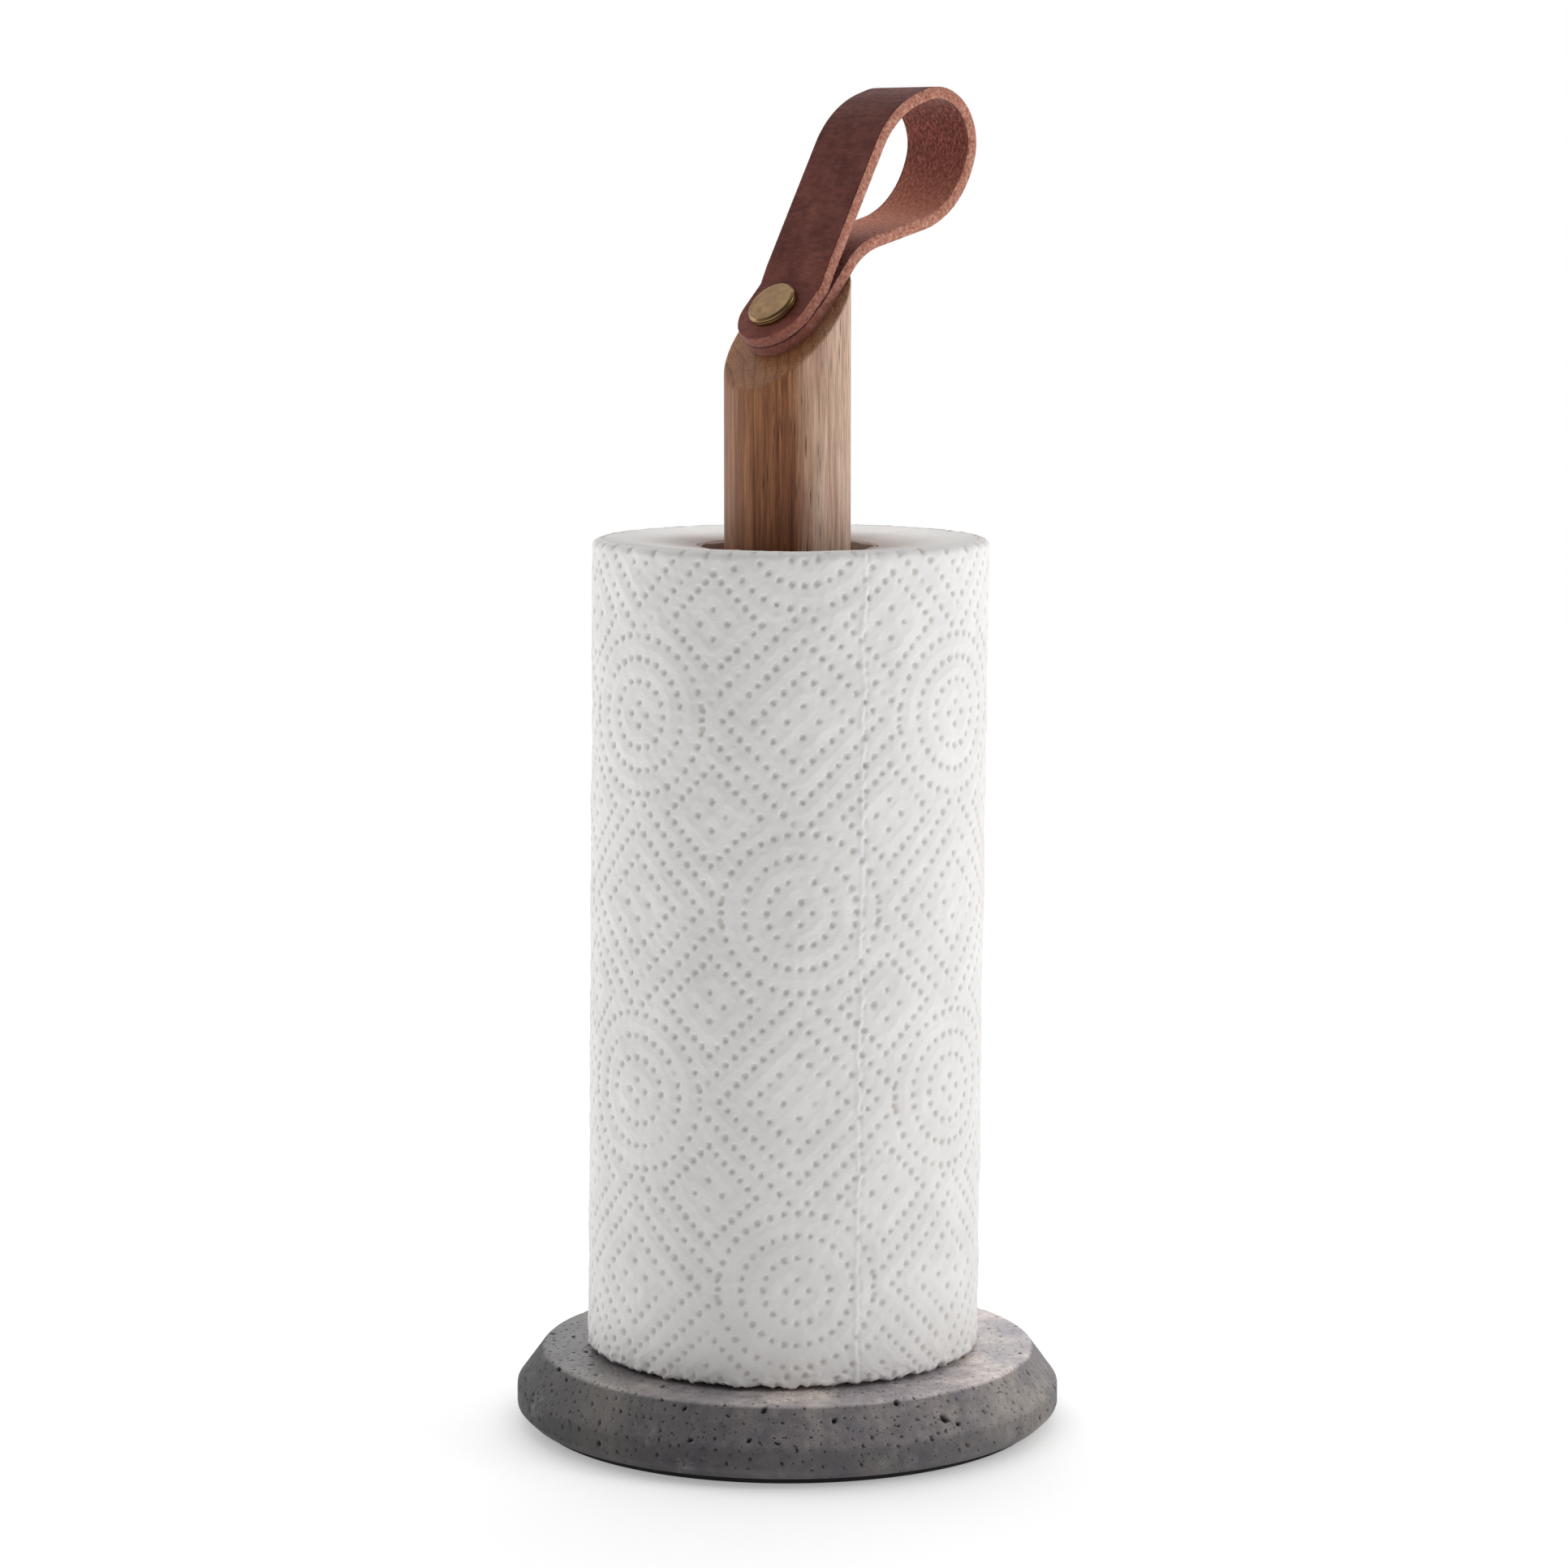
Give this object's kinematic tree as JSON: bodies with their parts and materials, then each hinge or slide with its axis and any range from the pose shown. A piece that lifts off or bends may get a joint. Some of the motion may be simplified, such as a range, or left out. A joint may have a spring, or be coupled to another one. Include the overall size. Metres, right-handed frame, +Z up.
{
  "type": "paper towel holder",
  "caption": "Upright paper towel holder: concrete disc foot, wooden post with a slanted top, leather carrying loop under a brass screw, and a roll of kitchen paper.",
  "frame": {"origin": "bottom centre of the foot, on the surface the holder stands on", "axes": "+Z up along the post, +X towards the high side of the post's slanted cut, so the strap's loop lies over +X and is symmetric about the XZ plane"},
  "size_m": [0.15, 0.15, 0.3662],
  "materials": {
    "pad_rubber": "matte",
    "concrete": "matte",
    "post_wood": "satin",
    "insert_steel": "satin",
    "bolt_steel": "satin",
    "strap_leather": "satin",
    "screw_brass": "satin",
    "core_board": "matte",
    "roll_paper": "matte"
  },
  "bodies": {
    "holder": {"foot_pad": "pad_rubber", "concrete_base": "concrete", "post": "post_wood", "post_insert": "insert_steel", "post_bolt": "bolt_steel", "post_washer": "bolt_steel", "strap_washer": "screw_brass", "strap_cap": "screw_brass", "strap_stud": "bolt_steel"},
    "strap_loop": {"strap": "strap_leather"},
    "roll_tube": {"roll_core": "core_board"},
    "roll": {"paper_roll": "roll_paper"}
  },
  "joints": [
    {"name": "strap_swivel", "type": "hinge", "parent": "holder", "child": "strap_loop", "pos_m": [0, 0, 0.3019], "axis": [-0.7071, 0, 0.7071], "range_deg": [-90, 90]},
    {"name": "roll_lift", "type": "slide", "parent": "holder", "child": "roll_tube", "axis": [0, 0, 1], "range_m": [0, 0.36], "deforming": ["strap"]},
    {"name": "roll_spin", "type": "hinge", "parent": "roll_tube", "child": "roll", "pos_m": [0, 0, 0.0207], "axis": [0, 0, 1], "continuous": true}
  ]
}
